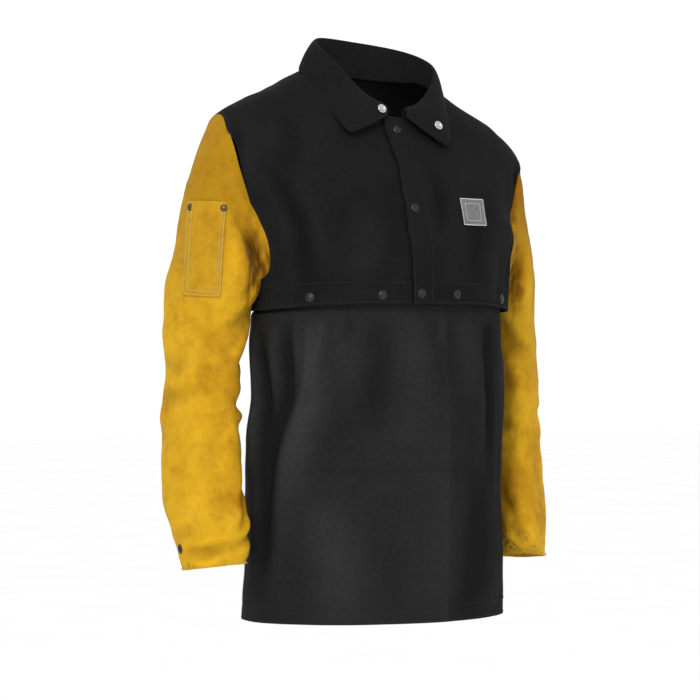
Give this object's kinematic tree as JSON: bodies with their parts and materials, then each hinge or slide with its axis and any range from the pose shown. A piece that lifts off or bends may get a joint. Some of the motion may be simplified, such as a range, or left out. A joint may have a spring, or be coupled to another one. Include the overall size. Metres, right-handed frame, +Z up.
{
  "type": "welding jacket",
  "caption": "Cape-sleeve welding jacket: black cotton yoke with turned collar and placket, split-cowhide sleeves, and a front bib snapped under the yoke hem.",
  "frame": {"origin": "centre of the neck seam", "axes": "+Z up, wearer faces -Y, +X to the wearer's left"},
  "size_m": [0.5876, 0.2806, 0.8108],
  "materials": {
    "cotton": "matt flame-resistant cotton twill",
    "leather": "napped split cowhide",
    "dark_bronze": "dark antique rivet",
    "snap_cap": "gunmetal snap cap",
    "snap_metal": "nickel",
    "badge": "woven plain patch"
  },
  "bodies": {
    "yoke": {"back_yoke": "cotton", "right_front": "cotton", "left_front": "cotton", "front_hem_fold": "cotton", "back_hem_fold": "cotton", "right_front_facing": "cotton", "placket_band": "cotton", "collar_stand": "cotton", "collar_leaf": "cotton", "bib_top_band": "cotton", "bib_top_fold": "cotton", "right_sleeve_upper": "leather", "left_sleeve_upper": "leather", "pencil_pocket": "leather", "pocket_rivets": "dark_bronze", "pocket_rivet_washers": "dark_bronze", "placket_snap_caps": "snap_cap", "hem_snap_caps": "snap_cap", "placket_snap_sockets": "snap_metal", "placket_snap_studs": "snap_metal", "placket_snap_eyelets": "snap_metal", "hem_snap_sockets": "snap_metal", "hem_snap_studs": "snap_metal", "hem_snap_eyelets": "snap_metal", "chest_badge": "badge", "collar_snap_ring": "snap_metal", "collar_snap_cap": "snap_metal"},
    "right_forearm": {"right_sleeve_lower": "leather", "right_cuff_snap": "snap_cap"},
    "left_forearm": {"left_sleeve_lower": "leather", "left_cuff_snap": "snap_cap"},
    "bib": {"bib_panel": "cotton", "bib_bottom_hem": "cotton", "bib_side_hems": "cotton"}
  },
  "joints": [
    {"name": "right_elbow", "type": "hinge", "parent": "yoke", "child": "right_forearm", "pos_m": [-0.249, 0.031, -0.365], "axis": [-1, 0, 0], "range_deg": [0, 70]},
    {"name": "left_elbow", "type": "hinge", "parent": "yoke", "child": "left_forearm", "pos_m": [0.249, 0.031, -0.365], "axis": [-1, 0, 0], "range_deg": [0, 70]},
    {"name": "bib_swing", "type": "hinge", "parent": "yoke", "child": "bib", "pos_m": [0, -0.1405, -0.297], "axis": [-1, 0, 0], "range_deg": [0, 25]}
  ]
}
